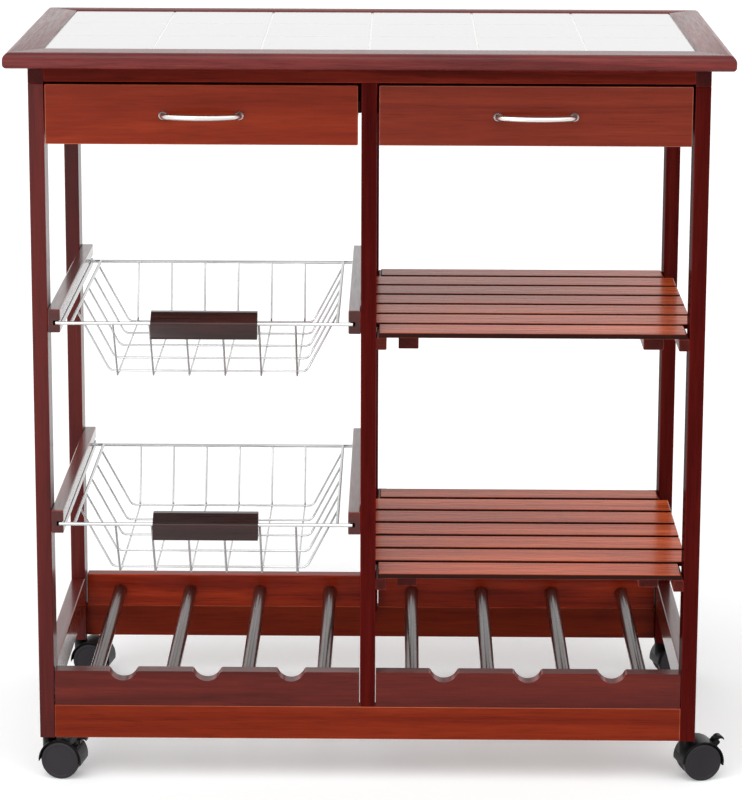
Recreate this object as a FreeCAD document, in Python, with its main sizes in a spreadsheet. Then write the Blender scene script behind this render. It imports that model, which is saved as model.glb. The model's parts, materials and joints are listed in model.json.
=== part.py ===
import FreeCAD, Part
import Sketcher
import math
import os
import re

# Serving trolley: tiled worktop on six posts, with two drawers, two sliding wire baskets,
# two slatted shelves, a rack for six bottles and four swivelling twin-wheel casters.
# Millimetres. X runs to the right, Y to the back, Z up. The origin is on the floor, under the
# middle of the worktop.

doc = FreeCAD.newDocument("ServingTrolley")
sheet = doc.addObject("Spreadsheet::Sheet", "Dims")

TILE_COLUMNS = 6
TILE_ROWS = 3
SLATS = 7
LONG_WIRES = 6
CROSS_WIRES = 5
SCALLOPS = 3
DOWELS = 4

# Sizes that can be set one by one
driving_sizes = [
    # worktop
    ("overall_height", 760),
    ("top_width", 722),
    ("top_depth", 398),
    ("top_thickness", 16),
    ("moulding_width", 37),
    ("top_upper_round", 7.5),
    ("top_lower_round", 4.5),
    ("tile_thickness", 5),
    ("tile_recess", 0.5),
    ("grout_width", 2),
    ("grout_recess", 0.8),
    # posts and the frame under the worktop
    ("side_overhang", 22.5),
    ("end_overhang", 20),
    ("post_width", 15.5),
    ("post_depth", 33),
    ("foot_clearance", 45.5),
    ("batten_height", 17.5),
    ("front_apron_height", 15),
    ("back_apron_height", 78),
    ("apron_thickness", 13),
    ("side_panel_thickness", 12),
    ("side_panel_height", 60),
    ("edge_round", 1.2),
    # drawers
    ("drawer_front_gap", 2.125),
    ("drawer_front_height", 60),
    ("drawer_front_thickness", 12),
    ("drawer_top_gap", 2.5),
    ("drawer_left_shift", 1.2),
    ("drawer_side_thickness", 10),
    ("drawer_box_height", 46),
    ("drawer_box_lift", 4),
    ("drawer_back_gap", 33),
    ("drawer_floor_thickness", 4),
    ("drawer_floor_lift", 6),
    ("drawer_floor_tongue", 4),
    ("drawer_side_air", 4),
    ("runner_width", 9),
    ("runner_height", 12),
    ("runner_drop", 29.5),
    ("runner_front_gap", 1),
    ("running_clearance", 0.3),
    # drawer handles
    ("handle_span", 76),
    ("handle_reach", 25),
    ("handle_bar_radius", 2.8),
    ("handle_foot_radius", 4.2),
    ("handle_foot_length", 5),
    ("handle_bend_radius", 9),
    ("screw_radius", 1.9),
    ("screw_head_radius", 3.8),
    ("screw_head_height", 2.2),
    ("screw_clearance", 0.1),
    # basket rails
    ("upper_basket_height", 484.5),
    ("lower_basket_height", 275),
    ("rail_width", 12.5),
    ("rail_height", 24),
    ("rail_back_gap", 8),
    ("rail_below_rim", 10),
    ("groove_depth", 7),
    ("groove_headroom", 0.4),
    # wire baskets
    ("basket_end_gap", 2.625),
    ("basket_back_gap", 36),
    ("basket_drop", 64.5),
    ("front_wall_slope", 46),
    ("back_wall_slope", 19),
    ("side_wall_slope", 33),
    ("rim_wire_radius", 1.8),
    ("side_rod_radius", 1.8),
    ("side_wire_radius", 1.6),
    ("mesh_wire_radius", 1.1),
    ("weld_sink", 0.3),
    ("side_rod_inset", 2),
    ("side_wire_inset", 15.5),
    ("long_wire_inset", 57.5),
    ("cross_wire_start", 60),
    ("cross_wire_end", 24),
    ("wire_bend_radius", 8),
    ("wire_clearance", 0.05),
    # basket grips
    ("grip_width", 107),
    ("grip_height", 26),
    ("grip_depth", 22),
    ("grip_below_rim", 14.3),
    ("grip_slope_height", 9),
    ("grip_slope_depth", 12),
    ("grip_round", 2.5),
    ("grip_wire_slot", 3),
    # slatted shelves
    ("upper_shelf_height", 476),
    ("lower_shelf_height", 224),
    ("slat_thickness", 5.2),
    ("slat_gap", 7.2),
    ("back_slat_width", 35),
    ("shelf_back_gap", 27.8),
    ("slat_end_gap", 2.8),
    ("slat_overlap", 7.4),
    ("bearer_width", 10.5),
    ("bearer_height", 12.5),
    ("shelf_batten_width", 20.5),
    ("shelf_batten_height", 20.5),
    ("shelf_batten_inset", 22.5),
    # bottle rack and bottom rails
    ("bottom_rail_height", 35.5),
    ("bottom_rail_thickness", 15),
    ("rack_board_height", 37),
    ("rack_board_thickness", 16),
    ("rack_end_gap", 0.8),
    ("scallop_radius", 15),
    ("scallop_depth", 10.2),
    ("scallop_end_inset", 70.325),
    ("scallop_shoulder_round", 3),
    ("dowel_radius", 7.5),
    ("dowel_end_inset", 37.6),
    ("dowel_rise", 17.5),
    ("dowel_socket_depth", 7),
    ("dowel_clearance", 0.05),
    # casters
    ("wheel_radius", 20),
    ("wheel_width", 11.4),
    ("wheel_round", 2.4),
    ("wheel_dish_depth", 0.8),
    ("wheel_dish_margin", 3.4),
    ("web_width", 6),
    ("wheel_gap", 0.4),
    ("hood_radius", 22.6),
    ("hood_wall", 1.6),
    ("hood_skirt", 4),
    ("caster_trail", 14.5),
    ("axle_radius", 2.5),
    ("axle_eye_radius", 6),
    ("axle_clearance", 0.05),
    ("boss_radius", 7),
    ("stem_radius", 4),
    ("stem_length", 24),
    ("stem_clearance", 0.05),
    ("socket_wall", 1.2),
    ("socket_flange_radius", 7.2),
    ("socket_flange_thickness", 1.2),
    ("swivel_gap", 0.5),
    # brake levers on the two front casters
    ("lever_pin_distance", 25.8),
    ("lever_barrel_radius", 2.6),
    ("lever_pin_radius", 1.2),
    ("lever_width", 9),
    ("lever_side_gap", 0.3),
    ("lever_ear_width", 2),
    ("lever_reach", 8),
    ("lever_rise", 6),
    ("lever_thickness", 3.4),
    # every cut runs this far past the face it opens
    ("overrun", 1),
]

# How far the axle goes into each wheel, as a share of the wheel's width
bore_depth_share = 0.7

# Shape of the brake lever's curved tab, as shares of its rise, reach, thickness and barrel
lever_tip_share = 0.1
lever_root_share = 0.3
lever_crown_share = 0.41
lever_nose_share = 0.55
lever_heel_share = 0.9

# Angles in degrees: how each caster stands, where its brake lever is hinged, and how far
# the ends of a handle bend
driving_angles = [
    ("front_left_turn", -9),
    ("front_right_turn", 14),
    ("back_left_turn", -9),
    ("back_right_turn", 14),
    ("lever_pin_angle", 46),
    ("handle_bend_angle", 65),
]

# Places worked out from the sizes
worked_out = [
    ("frame_width", "=top_width - 2 * side_overhang"),
    ("frame_depth", "=top_depth - 2 * end_overhang"),
    ("top_underside", "=overall_height - top_thickness"),
    ("tile_field_width", "=top_width - 2 * moulding_width"),
    ("tile_field_depth", "=top_depth - 2 * moulding_width"),
    ("panel_thickness", "=top_thickness - tile_recess - tile_thickness"),
    ("frame_front", "=-frame_depth / 2"),
    ("frame_back", "=frame_depth / 2"),
    ("post_inner", "=frame_width / 2 - post_width"),
    ("centre_edge", "=post_width / 2"),
    ("bay_width", "=frame_width / 2 - 1.5 * post_width"),
    ("bay_centre", "=frame_width / 4 - post_width / 4"),
    ("post_top", "=top_underside - batten_height"),
    ("apron_bottom", "=top_underside - front_apron_height"),
    ("back_apron_bottom", "=top_underside - back_apron_height"),
    ("between_posts", "=frame_depth - 2 * post_depth"),
    ("drawer_top", "=apron_bottom - drawer_top_gap"),
    ("drawer_bottom", "=drawer_top - drawer_front_height"),
    ("drawer_front_width", "=bay_width - 2 * drawer_front_gap"),
    ("drawer_box_width", "=bay_width - 2 * drawer_side_air"),
    ("drawer_box_length", "=frame_depth - drawer_front_thickness - apron_thickness - drawer_back_gap"),
    ("drawer_box_bottom", "=drawer_bottom + drawer_box_lift"),
    ("drawer_side_start", "=frame_front + drawer_front_thickness"),
    ("runner_bottom", "=drawer_top - runner_drop"),
    ("handle_height", "=drawer_bottom + drawer_front_height / 2"),
    ("basket_front", "=frame_front"),
    ("rail_length", "=frame_depth - rail_back_gap"),
    ("groove_height", "=2 * (rim_wire_radius + running_clearance) + groove_headroom"),
    ("basket_width", "=bay_width - 2 * (rail_width - groove_depth + basket_end_gap)"),
    ("basket_length", "=frame_depth - basket_back_gap"),
    ("long_wire_pitch", f"=(basket_width - 2 * long_wire_inset) / {LONG_WIRES - 1}"),
    ("cross_wire_pitch", f"=(basket_length - cross_wire_start - cross_wire_end) / {CROSS_WIRES - 1}"),
    ("shelf_inner_width", "=bay_width - 2 * slat_end_gap"),
    ("slat_pitch", f"=(frame_depth - shelf_back_gap - back_slat_width) / {SLATS - 1}"),
    ("slat_width", "=slat_pitch - slat_gap"),
    ("rack_bottom", "=foot_clearance + bottom_rail_height"),
    ("rack_top", "=rack_bottom + rack_board_height"),
    ("rack_board_length", "=bay_width - 2 * rack_end_gap"),
    ("scallop_pitch", f"=(rack_board_length - 2 * scallop_end_inset) / {SCALLOPS - 1}"),
    ("dowel_pitch", f"=(rack_board_length - 2 * dowel_end_inset) / {DOWELS - 1}"),
    ("dowel_height", "=rack_bottom + dowel_rise"),
    ("axle_height", "=wheel_radius"),
    ("socket_radius", "=stem_radius + stem_clearance + socket_wall"),
    ("boss_top", "=foot_clearance - socket_flange_thickness - swivel_gap"),
    ("caster_x", "=frame_width / 2 - post_width / 2"),
    ("caster_y", "=frame_depth / 2 - post_depth / 2"),
    ("hood_width", "=web_width + 2 * wheel_gap + 2 * wheel_width"),
]

row = 0
for alias, number in driving_sizes + driving_angles + worked_out:
    row += 1
    sheet.set(f"A{row}", alias)
    sheet.set(f"B{row}", str(number))
    sheet.setAlias(f"B{row}", alias)
doc.recompute()

ALIASES = {alias for alias, number in driving_sizes + driving_angles + worked_out}
nodes = []


def size(alias):
    """The number that the sheet holds under a name."""
    return float(sheet.get(alias))


def with_sheet_name(word):
    return f"Dims.{word.group()}" if word.group() in ALIASES else word.group()


def bind(item, name, text):
    """Tie a property to an expression written in the sheet's names."""
    item.setExpression(name, re.sub(r"[a-z_]+", with_sheet_name, text))


def place(item, x="0", y="0", z="0"):
    """Tie an object's place to expressions."""
    bind(item, "Placement.Base.x", x)
    bind(item, "Placement.Base.y", y)
    bind(item, "Placement.Base.z", z)


def node(item, label):
    """Mark an object as a finished piece, with the name of its file."""
    item.Label = label
    nodes.append(item)
    return item


def box(name, length, width, height, x, y, z):
    """A rectangular board whose corner is at x, y, z."""
    item = doc.addObject("Part::Box", name)
    bind(item, "Length", length)
    bind(item, "Width", width)
    bind(item, "Height", height)
    place(item, x, y, z)
    return item


AXIS_TURNS = {
    "x": FreeCAD.Rotation(FreeCAD.Vector(0, 1, 0), 90),
    "y": FreeCAD.Rotation(FreeCAD.Vector(1, 0, 0), -90),
    "z": FreeCAD.Rotation(),
}


def cylinder(name, radius, height, x, y, z, axis="z"):
    """A round bar along one axis, starting at x, y, z."""
    item = doc.addObject("Part::Cylinder", name)
    bind(item, "Radius", radius)
    bind(item, "Height", height)
    item.Placement = FreeCAD.Placement(FreeCAD.Vector(), AXIS_TURNS[axis])
    place(item, x, y, z)
    return item


def fuse(name, shapes):
    item = doc.addObject("Part::MultiFuse", name)
    item.Shapes = shapes
    return item


def cut(name, base, tool):
    item = doc.addObject("Part::Cut", name)
    item.Base = base
    item.Tool = tool
    return item


def group(name, members):
    """Several like pieces that share one file."""
    item = doc.addObject("Part::Compound", name)
    item.Links = members
    return node(item, name)


def eased(item, name, radius, wanted=None):
    """Round an object's edges: all of them, or those whose middle passes the test."""
    doc.recompute()
    edges = []
    for number, edge in enumerate(item.Shape.Edges, start=1):
        if wanted is None or wanted(edge.CenterOfMass, edge):
            edges.append((number, size(radius), size(radius)))
    rounded = doc.addObject("Part::Fillet", name)
    rounded.Base = item
    rounded.Edges = edges
    return rounded


def board(label, length, width, height, x, y, z):
    """A board with eased edges as a finished piece."""
    return node(eased(box(label + "_blank", length, width, height, x, y, z), label, "edge_round"), label)


def origin_plane(body, role):
    for item in body.Origin.OriginFeatures:
        if item.Role == role:
            return item


def outline_sketch(body, name, role, points):
    """A closed outline of straight lines. Each corner is a pair of expressions in the plane's axes."""
    sketch = body.newObject("Sketcher::SketchObject", name)
    sketch.AttachmentSupport = [(origin_plane(body, role), "")]
    sketch.MapMode = "FlatFace"
    add_outline(sketch, name, points)
    return sketch


def add_outline(sketch, name, points):
    """Draw one closed outline and tie every corner to the sheet."""
    probe = doc.getObject("Probe") or doc.addObject("App::FeaturePython", "Probe")
    corners = []
    for across, up in points:
        corners.append(FreeCAD.Vector(evaluate(probe, across), evaluate(probe, up), 0))
    first = sketch.GeometryCount
    total = len(corners)
    for index, corner in enumerate(corners):
        sketch.addGeometry(Part.LineSegment(corner, corners[(index + 1) % total]), False)
    for index in range(total):
        follower = first + (index + 1) % total
        sketch.addConstraint(Sketcher.Constraint("Coincident", first + index, 2, follower, 1))
    for index, (across, up) in enumerate(points):
        tie_point(sketch, first + index, corners[index], across, up)
    return sketch


def tie_point(sketch, geometry, corner, across, up):
    """Hold a line's start point at two expressions, measured from the sketch's origin."""
    for kind, number, text in (("DistanceX", corner.x, across), ("DistanceY", corner.y, up)):
        place_in_list = sketch.addConstraint(Sketcher.Constraint(kind, -1, 1, geometry, 1, number))
        bind(sketch, f"Constraints[{place_in_list}]", text)


def evaluate(probe, text):
    """The number an expression gives now."""
    return float(probe.evalExpression(re.sub(r"[a-z_]+", with_sheet_name, text)))


def pad(body, sketch, length, midplane=False):
    feature = body.newObject("PartDesign::Pad", sketch.Name + "_pad")
    feature.Profile = sketch
    bind(feature, "Length", length)
    feature.Midplane = midplane
    sketch.Visibility = False
    return feature


def pocket_through(body, sketch):
    feature = body.newObject("PartDesign::Pocket", sketch.Name + "_pocket")
    feature.Profile = sketch
    feature.Type = "ThroughAll"
    feature.Midplane = True
    return feature


# Worktop: four mitred mouldings round a panel that carries the tiles
def top_moulding(name, length):
    """A moulding along X whose outer edge faces -Y, mitred at both ends, about its outer edge's middle."""
    body = doc.addObject("PartDesign::Body", name)
    section = [("0", "0"), ("moulding_width", "0"),
               ("moulding_width", "top_thickness"), ("0", "top_thickness")]
    pad(body, outline_sketch(body, name + "_section", "YZ_Plane", section), length, midplane=True)
    for side, sign in (("left", "-1 * "), ("right", "")):
        mitre = [(f"{sign}{length} / 2", "0"),
                 (f"{sign}({length} / 2 - moulding_width)", "moulding_width"),
                 (f"{sign}({length} / 2 - moulding_width)", "moulding_width + overrun"),
                 (f"{sign}({length} / 2 + overrun)", "moulding_width + overrun"),
                 (f"{sign}({length} / 2 + overrun)", "0")]
        pocket_through(body, outline_sketch(body, f"{name}_{side}_mitre", "XY_Plane", mitre))
    roundings = (("upper", "top_thickness", "top_upper_round"), ("lower", "", "top_lower_round"))
    for word, height, radius in roundings:
        doc.recompute()
        level = size(height) if height else 0
        solid = body.Tip
        edges = []
        for number, edge in enumerate(solid.Shape.Edges, start=1):
            middle = edge.CenterOfMass
            outer = abs(middle.y) < size("edge_round") and edge.Length > size("moulding_width")
            if outer and abs(middle.z - level) < size("edge_round"):
                edges.append(f"Edge{number}")
        rounding = body.newObject("PartDesign::Fillet", f"{name}_{word}_round")
        rounding.Base = (solid, edges)
        bind(rounding, "Radius", radius)
        body.Tip = rounding
    return body


def make_worktop():
    quarter_turns = (("top_front_moulding", "top_width", 0), ("top_right_moulding", "top_depth", 90),
                     ("top_back_moulding", "top_width", 180), ("top_left_moulding", "top_depth", 270))
    made = {}
    for name, length, turn in quarter_turns:
        body = top_moulding(name, length)
        body.Placement = FreeCAD.Placement(FreeCAD.Vector(), FreeCAD.Rotation(FreeCAD.Vector(0, 0, 1), turn))
        reach = {0: ("0", "-top_depth / 2"), 90: ("top_width / 2", "0"),
                 180: ("0", "top_depth / 2"), 270: ("-top_width / 2", "0")}[turn]
        place(body, reach[0], reach[1], "top_underside")
        made[name] = body
    node(made["top_front_moulding"], "top_front_moulding")
    node(made["top_back_moulding"], "top_back_moulding")
    group("top_side_mouldings", [made["top_left_moulding"], made["top_right_moulding"]])
    node(box("top_panel", "tile_field_width", "tile_field_depth", "panel_thickness",
             "-tile_field_width / 2", "-tile_field_depth / 2", "top_underside"), "top_panel")
    columns = f"tile_field_width / {TILE_COLUMNS}"
    rows = f"tile_field_depth / {TILE_ROWS}"
    tiles = []
    wells = []
    for column in range(TILE_COLUMNS):
        for line in range(TILE_ROWS):
            x = f"-tile_field_width / 2 + {column} * {columns} + grout_width / 2"
            y = f"-tile_field_depth / 2 + {line} * {rows} + grout_width / 2"
            tiles.append(box(f"tile_{column}_{line}", f"{columns} - grout_width", f"{rows} - grout_width",
                             "tile_thickness", x, y, "top_underside + panel_thickness"))
            wells.append(box(f"well_{column}_{line}", f"{columns} - grout_width", f"{rows} - grout_width",
                             "tile_thickness + 2 * overrun", x, y,
                             "top_underside + panel_thickness - overrun"))
    group("tiles", tiles)
    bed = box("grout_bed", "tile_field_width", "tile_field_depth", "tile_thickness - grout_recess",
              "-tile_field_width / 2", "-tile_field_depth / 2", "top_underside + panel_thickness")
    node(cut("tile_grout", bed, fuse("grout_wells", wells)), "tile_grout")


# Frame: aprons and battens under the worktop, six posts, side panels
def post(label, x, y, height, foot):
    """A post with eased edges and, at a corner, a bore for the caster's socket."""
    blank = box(label + "_blank", "post_width", "post_depth", height, x, y, foot)

    def is_long(middle, edge):
        return edge.Length > size("post_depth") * 2

    return eased(blank, label + "_eased", "edge_round", is_long)


def make_frame():
    for side, x in (("left", "-frame_width / 2"), ("right", "post_inner")):
        for end, y in (("front", "frame_front"), ("back", "frame_back - post_depth")):
            label = f"{end}_{side}_post"
            blank = post(label, x, y, "post_top - foot_clearance", "foot_clearance")
            bore = cylinder(label + "_bore", "socket_radius", "stem_length + overrun",
                            f"{x} + post_width / 2", f"{y} + post_depth / 2", "foot_clearance - overrun")
            node(cut(label, blank, bore), label)
    node(post("front_centre_post", "-centre_edge", "frame_front",
              "apron_bottom - rack_bottom", "rack_bottom"), "front_centre_post")
    node(post("back_centre_post", "-centre_edge", "frame_back - post_depth",
              "back_apron_bottom - rack_bottom", "rack_bottom"), "back_centre_post")
    board("front_apron", "2 * post_inner", "apron_thickness", "front_apron_height",
          "-post_inner", "frame_front", "apron_bottom")
    board("back_apron", "2 * post_inner", "apron_thickness", "back_apron_height",
          "-post_inner", "frame_back - apron_thickness", "back_apron_bottom")
    battens = []
    panels = []
    for side, x in (("left", "-frame_width / 2"), ("right", "post_inner")):
        panel_x = f"{x} + (post_width - side_panel_thickness) / 2"
        batten = box(f"{side}_batten_blank", "post_width", "frame_depth", "batten_height",
                     x, "frame_front", "post_top")
        battens.append(eased(batten, f"{side}_top_batten", "edge_round"))
        panel = box(f"{side}_panel_blank", "side_panel_thickness", "between_posts", "side_panel_height",
                    panel_x, "frame_front + post_depth", "post_top - side_panel_height")
        panels.append(eased(panel, f"{side}_side_panel", "edge_round"))
    group("top_battens", battens)
    group("side_panels", panels)


# Bottle rack: rails, boards with scallops for the bottle necks, dowels that the bottles lie on
def scalloped_board(label, centre_x):
    """The rack's front board: its origin is under the middle of its front face."""
    body = doc.addObject("PartDesign::Body", label + "_blank")
    face = [("-rack_board_length / 2", "0"), ("rack_board_length / 2", "0"),
            ("rack_board_length / 2", "rack_board_height"), ("-rack_board_length / 2", "rack_board_height")]
    blank = pad(body, outline_sketch(body, label + "_face", "XZ_Plane", face), "rack_board_thickness")
    blank.Reversed = True
    doc.recompute()
    body.Tip = blank
    place(body, centre_x, "frame_front", "rack_bottom")
    cutters = []
    behind = "frame_front + rack_board_thickness - dowel_socket_depth"
    for index in range(SCALLOPS):
        shift = f"({index} - {(SCALLOPS - 1) / 2}) * scallop_pitch"
        cutters.append(cylinder(f"{label}_scallop_{index}", "scallop_radius",
                                "rack_board_thickness + 2 * overrun",
                                f"{centre_x} + {shift}", "frame_front - overrun",
                                "rack_top - scallop_depth + scallop_radius", "y"))
    for index in range(DOWELS):
        shift = f"({index} - {(DOWELS - 1) / 2}) * dowel_pitch"
        cutters.append(cylinder(f"{label}_socket_{index}", "dowel_radius + dowel_clearance",
                                "dowel_socket_depth + overrun", f"{centre_x} + {shift}",
                                behind, "dowel_height", "y"))
    carved = cut(label + "_carved", body, fuse(label + "_cutters", cutters))
    top = size("rack_top")

    def shoulder(middle, edge):
        across = abs(edge.BoundBox.YLength - size("rack_board_thickness")) < size("dowel_clearance")
        upper = abs(middle.z - top) < size("dowel_clearance")
        return across and upper and is_inner(middle.x)

    def is_inner(x):
        middle_x = size("bay_centre") * (1 if label.startswith("right") else -1)
        return abs(x - middle_x) < size("rack_board_length") / 2 - size("scallop_shoulder_round")

    return node(eased(carved, label + "_finished", "scallop_shoulder_round", shoulder), label)


def make_rack():
    for end, y in (("front", "frame_front"), ("back", "frame_back - bottom_rail_thickness")):
        board(f"{end}_bottom_rail", "2 * post_inner", "bottom_rail_thickness", "bottom_rail_height",
              "-post_inner", y, "foot_clearance")
    sides = []
    for side, x in (("left", "-frame_width / 2"), ("right", "post_inner")):
        blank = box(f"{side}_rack_side_blank", "post_width", "between_posts", "rack_board_height",
                    x, "frame_front + post_depth", "rack_bottom")
        sides.append(eased(blank, f"{side}_rack_side", "edge_round"))
    group("rack_sides", sides)
    backs = []
    dowels = []
    for side, sign in (("left", "-1 * "), ("right", "")):
        centre_x = f"{sign}bay_centre"
        scalloped_board(f"{side}_rack_front", centre_x)
        blank = box(f"{side}_rack_back_blank",
                    "rack_board_length", "rack_board_thickness", "rack_board_height",
                    f"{centre_x} - rack_board_length / 2", "frame_back - rack_board_thickness",
                    "rack_bottom")
        rounded = eased(blank, f"{side}_rack_back_eased", "edge_round")
        sockets = []
        for index in range(DOWELS):
            x = f"{centre_x} + ({index} - {(DOWELS - 1) / 2}) * dowel_pitch"
            sockets.append(cylinder(f"{side}_back_socket_{index}", "dowel_radius + dowel_clearance",
                                    "dowel_socket_depth + overrun", x,
                                    "frame_back - rack_board_thickness - overrun", "dowel_height", "y"))
            dowels.append(cylinder(f"{side}_dowel_{index}", "dowel_radius",
                                   "frame_depth - 2 * rack_board_thickness + 2 * dowel_socket_depth", x,
                                   "frame_front + rack_board_thickness - dowel_socket_depth",
                                   "dowel_height", "y"))
        backs.append(cut(f"{side}_rack_back", rounded, fuse(f"{side}_back_sockets", sockets)))
    group("rack_backs", backs)
    group("rack_dowels", dowels)


# Drawers: front, grooved sides on fixed runner strips, back, floor, bow handle and its screws
def make_runners():
    strips = []
    places = ("-post_inner", "-centre_edge - runner_width", "centre_edge", "post_inner - runner_width")
    for index, x in enumerate(places):
        blank = box(f"runner_blank_{index}", "runner_width",
                    "frame_depth - apron_thickness - drawer_front_thickness - runner_front_gap",
                    "runner_height", x, "frame_front + drawer_front_thickness + runner_front_gap",
                    "runner_bottom")
        strips.append(eased(blank, f"runner_{index}", "edge_round"))
    group("drawer_runners", strips)


def make_drawer(side, centre_x):
    blank = box(f"{side}_drawer_front_blank",
                "drawer_front_width", "drawer_front_thickness", "drawer_front_height",
                f"{centre_x} - drawer_front_width / 2", "frame_front", "drawer_bottom")
    rounded = eased(blank, f"{side}_drawer_front_eased", "edge_round")
    holes = []
    screws = []
    for end, sign in (("near", "-1 * "), ("far", "")):
        x = f"{centre_x} + {sign}handle_span / 2"
        holes.append(cylinder(f"{side}_{end}_screw_hole", "screw_radius + screw_clearance",
                              "drawer_front_thickness + 2 * overrun", x, "frame_front - overrun",
                              "handle_height", "y"))
        shank = cylinder(f"{side}_{end}_screw_shank", "screw_radius",
                         "drawer_front_thickness + handle_foot_length - screw_clearance", x,
                         "frame_front - handle_foot_length + screw_clearance", "handle_height", "y")
        head = cylinder(f"{side}_{end}_screw_head", "screw_head_radius", "screw_head_height", x,
                        "drawer_side_start", "handle_height", "y")
        screws.append(fuse(f"{side}_{end}_screw", [shank, head]))
    node(cut(f"{side}_drawer_front", rounded, fuse(f"{side}_screw_holes", holes)), f"{side}_drawer_front")
    group(f"{side}_handle_screws", screws)
    sides = []
    for hand, x, groove_x in (
            ("left", f"{centre_x} - drawer_box_width / 2", f"{centre_x} - drawer_box_width / 2 - overrun"),
            ("right", f"{centre_x} + drawer_box_width / 2 - drawer_side_thickness",
             f"{centre_x} + drawer_box_width / 2 - runner_width + drawer_side_air - 2 * overrun")):
        name = f"{side}_drawer_{hand}_side"
        panel = eased(box(name + "_blank", "drawer_side_thickness", "drawer_box_length", "drawer_box_height",
                          x, "drawer_side_start", "drawer_box_bottom"), name + "_eased", "edge_round")
        groove = box(name + "_groove", "runner_width - drawer_side_air + 3 * overrun",
                     "drawer_box_length + 2 * overrun", "runner_height + 2 * running_clearance", groove_x,
                     "drawer_side_start - overrun", "runner_bottom - running_clearance")
        floor_x = f"{centre_x} - drawer_box_width / 2 + drawer_side_thickness - drawer_floor_tongue"
        slot = box(name + "_floor_slot",
                   "drawer_box_width - 2 * drawer_side_thickness + 2 * drawer_floor_tongue",
                   "drawer_box_length + 2 * overrun", "drawer_floor_thickness", floor_x,
                   "drawer_side_start - overrun", "drawer_box_bottom + drawer_floor_lift")
        sides.append(cut(name, panel, fuse(name + "_slots", [groove, slot])))
    group(f"{side}_drawer_sides", sides)
    back = box(f"{side}_drawer_back_blank",
               "drawer_box_width - 2 * drawer_side_thickness", "drawer_side_thickness",
               "drawer_box_height - drawer_floor_lift - drawer_floor_thickness",
               f"{centre_x} - drawer_box_width / 2 + drawer_side_thickness",
               "drawer_side_start + drawer_box_length - drawer_side_thickness",
               "drawer_box_bottom + drawer_floor_lift + drawer_floor_thickness")
    node(eased(back, f"{side}_drawer_back", "edge_round"), f"{side}_drawer_back")
    node(box(f"{side}_drawer_floor",
             "drawer_box_width - 2 * drawer_side_thickness + 2 * drawer_floor_tongue",
             "drawer_box_length", "drawer_floor_thickness",
             f"{centre_x} - drawer_box_width / 2 + drawer_side_thickness - drawer_floor_tongue",
             "drawer_side_start", "drawer_box_bottom + drawer_floor_lift"), f"{side}_drawer_floor")
    make_handle(side, centre_x)


def bow_path(half, reach):
    """Half a turn out of the front, round a small bend and along a flat bow, then the same back."""
    bend = size("handle_bend_radius")
    angle = math.radians(size("handle_bend_angle"))
    bow = (half - bend * (1 - math.cos(angle))) / math.cos(angle)
    straight = reach - bend * math.sin(angle) - bow * (1 - math.sin(angle))

    def on_bend(turn):
        return FreeCAD.Vector(-half + bend * (1 - math.cos(turn)), -straight - bend * math.sin(turn), 0)

    def on_bow(turn):
        knee = on_bend(angle)
        across = knee.x + bow * (math.cos(angle) - math.cos(turn))
        return FreeCAD.Vector(across, knee.y - bow * (math.sin(turn) - math.sin(angle)), 0)

    def other(point):
        return FreeCAD.Vector(-point.x, point.y, 0)

    square = math.pi / 2
    start = FreeCAD.Vector(-half, 0, 0)
    low = on_bend(0)
    knee = on_bend(angle)
    halfway = on_bend(angle / 2)
    edges = [Part.LineSegment(start, low), Part.Arc(low, halfway, knee),
             Part.Arc(knee, on_bow(square), other(knee)),
             Part.Arc(other(knee), other(halfway), other(low)),
             Part.LineSegment(other(low), other(start))]
    return Part.Wire([edge.toShape() for edge in edges])


def make_handle(side, centre_x):
    """A bow handle: two round feet joined by a bar that bows out to the front."""
    half = size("handle_span") / 2
    foot = size("handle_foot_length")
    path = bow_path(half, size("handle_reach") - size("handle_bar_radius"))
    outwards = FreeCAD.Vector(0, -1, 0)
    ring = Part.Wire(Part.makeCircle(size("handle_bar_radius"), FreeCAD.Vector(-half, 0, 0), outwards))
    shape = path.makePipeShell([ring], True, False)
    for x in (-half, half):
        round_foot = Part.makeCylinder(size("handle_foot_radius"), foot, FreeCAD.Vector(x, 0, 0), outwards)
        shape = shape.fuse(round_foot)
    for x in (-half, half):
        bore = size("screw_radius") + size("screw_clearance")
        shape = shape.cut(Part.makeCylinder(bore, foot, FreeCAD.Vector(x, 0, 0), outwards))
    handle = doc.addObject("Part::Feature", f"{side}_drawer_handle")
    handle.Shape = shape.removeSplitter()
    place(handle, centre_x, "frame_front", "handle_height")
    node(handle, f"{side}_drawer_handle")


# Basket bay: grooved rails on the posts, wire baskets whose rim ends run in the grooves
def basket_rail(name, x, groove_x, basket_height):
    blank = box(name + "_blank", "rail_width", "rail_length", "rail_height", x, "frame_front",
                f"{basket_height} - rail_below_rim")
    rounded = eased(blank, name + "_eased", "edge_round")
    groove = box(name + "_groove", "groove_depth + overrun", "rail_length + 2 * overrun", "groove_height",
                 groove_x, "frame_front - overrun", f"{basket_height} - rim_wire_radius - running_clearance")
    return cut(name, rounded, groove)


def make_basket_rails():
    rails = []
    for level in ("upper", "lower"):
        height = f"{level}_basket_height"
        rails.append(basket_rail(f"{level}_left_rail", "-post_inner",
                                 "-post_inner + rail_width - groove_depth", height))
        rails.append(basket_rail(f"{level}_right_rail", "-centre_edge - rail_width",
                                 "-centre_edge - rail_width - overrun", height))
    group("basket_rails", rails)


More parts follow.
